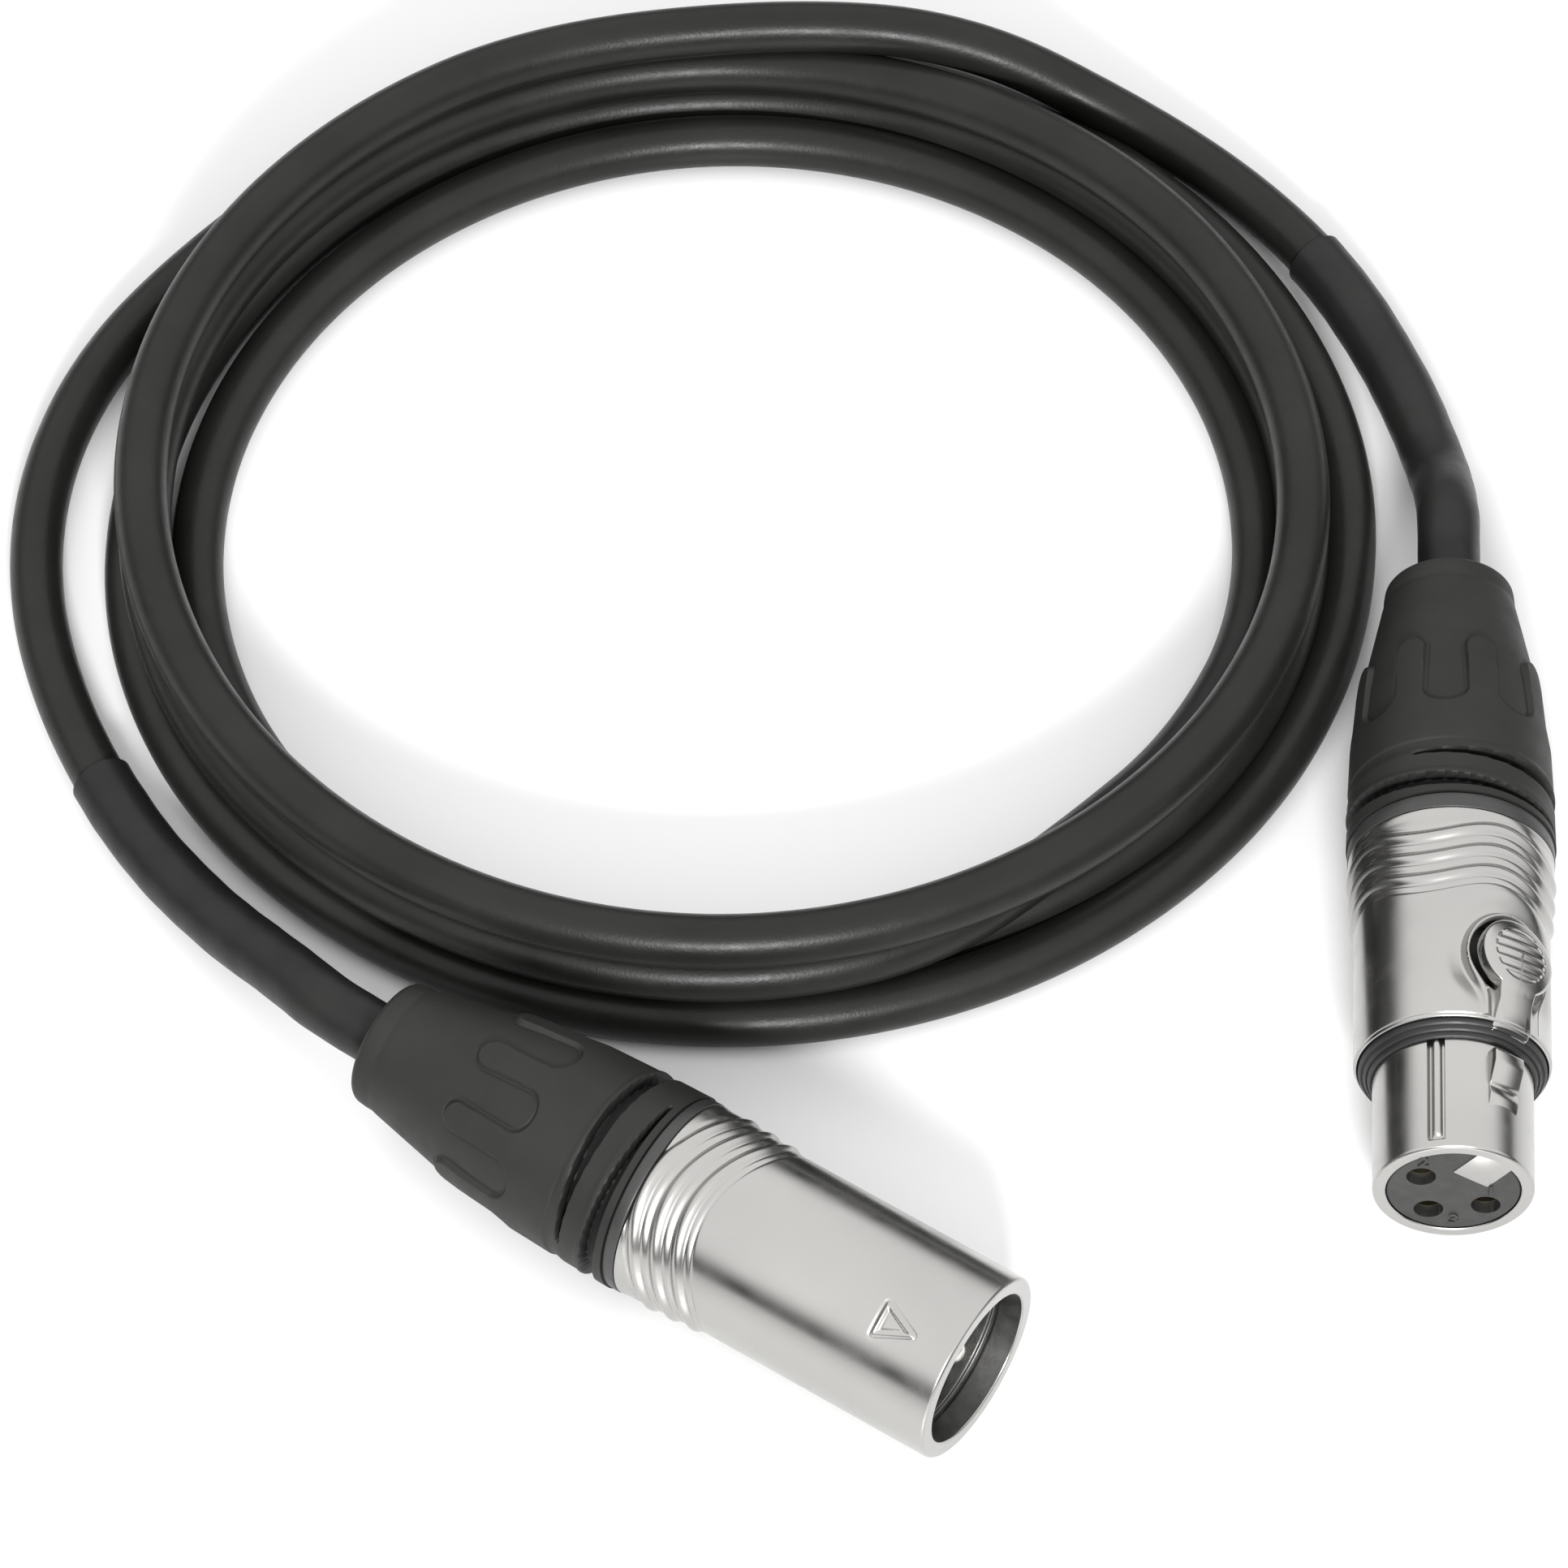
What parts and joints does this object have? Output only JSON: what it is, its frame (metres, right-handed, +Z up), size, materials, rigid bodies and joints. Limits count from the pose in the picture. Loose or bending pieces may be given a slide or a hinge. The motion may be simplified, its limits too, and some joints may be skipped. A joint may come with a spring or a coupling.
{
  "type": "coiled microphone cable",
  "caption": "Coiled balanced microphone cable with a latching female connector and an open-mouthed male connector, each with a screw-on boot.",
  "frame": {"origin": "centre of the coil on the surface it lies on", "axes": "+Z up from that surface, -Y towards the connectors' side, +X towards the female connector"},
  "size_m": [0.1575, 0.1808, 0.0218],
  "materials": {
    "jacket": "satin black flexible jacket",
    "sleeve": "smooth shrunk sleeve",
    "nickel": "satin nickel plating on die-cast metal",
    "nickel_latch": "bright nickel plating",
    "rubber": "matt seal",
    "insert": "fine matt moulding",
    "spring_steel": "drawn steel",
    "boot": "soft-touch matt elastomer",
    "hard_plastic": "matt moulding",
    "bare_wire": "tinned strands",
    "red_core": "insulated core",
    "white_core": "insulated core",
    "contact": "plated contact"
  },
  "bodies": {
    "root": {"cable_coil": "jacket", "female_lead": "jacket", "male_lead": "jacket", "female_lead_sleeve": "sleeve", "male_lead_sleeve": "sleeve", "female_jacket_end": "jacket", "male_jacket_end": "jacket", "female_shell": "nickel", "male_shell": "nickel", "seal_ring": "rubber", "female_insert": "insert", "male_insert": "insert", "latch_pivot_pin": "spring_steel", "female_shield_conductor": "bare_wire", "female_hot_conductor": "red_core", "female_cold_conductor": "white_core", "male_shield_conductor": "bare_wire", "male_hot_conductor": "red_core", "male_cold_conductor": "white_core", "female_contact_1": "contact", "male_pin_1": "contact", "female_contact_2": "contact", "male_pin_2": "contact", "female_contact_3": "contact", "male_pin_3": "contact"},
    "latch": {"latch_lever": "nickel_latch", "latch_spring": "spring_steel"},
    "female_chuck": {"female_cable_chuck": "hard_plastic"},
    "female_boot": {"female_boot": "boot", "female_gland_nut": "hard_plastic"},
    "male_chuck": {"male_cable_chuck": "hard_plastic"},
    "male_boot": {"male_boot": "boot", "male_gland_nut": "hard_plastic"}
  },
  "joints": [
    {"name": "latch_press", "type": "hinge", "parent": "root", "child": "latch", "pos_m": [0.07502, -0.05465, 0.01484], "axis": [0.8185, -0.0324, -0.5736], "range_deg": [0, 5], "stiffness_Nm_per_rad": 0.25, "springref_deg": -5.16},
    {"name": "female_boot_back", "type": "slide", "parent": "root", "child": "female_chuck", "axis": [0.0396, 0.9992, 0], "range_m": [0, 0.003]},
    {"name": "female_boot_turn", "type": "hinge", "parent": "female_chuck", "child": "female_boot", "pos_m": [0.0727, -0.03655, 0.0105], "axis": [0.0396, 0.9992, 0], "range_deg": [0, 720]},
    {"name": "male_boot_back", "type": "slide", "parent": "root", "child": "male_chuck", "axis": [-0.834, 0.5518, 0], "range_m": [0, 0.003]},
    {"name": "male_boot_turn", "type": "hinge", "parent": "male_chuck", "child": "male_boot", "pos_m": [-0.01343, -0.08118, 0.0105], "axis": [-0.834, 0.5518, 0], "range_deg": [0, 720]}
  ],
  "couplings": [
    {"joint": "female_boot_back", "follows": "female_boot_turn", "m_per_rad": 0.0002387},
    {"joint": "male_boot_back", "follows": "male_boot_turn", "m_per_rad": 0.0002387}
  ]
}
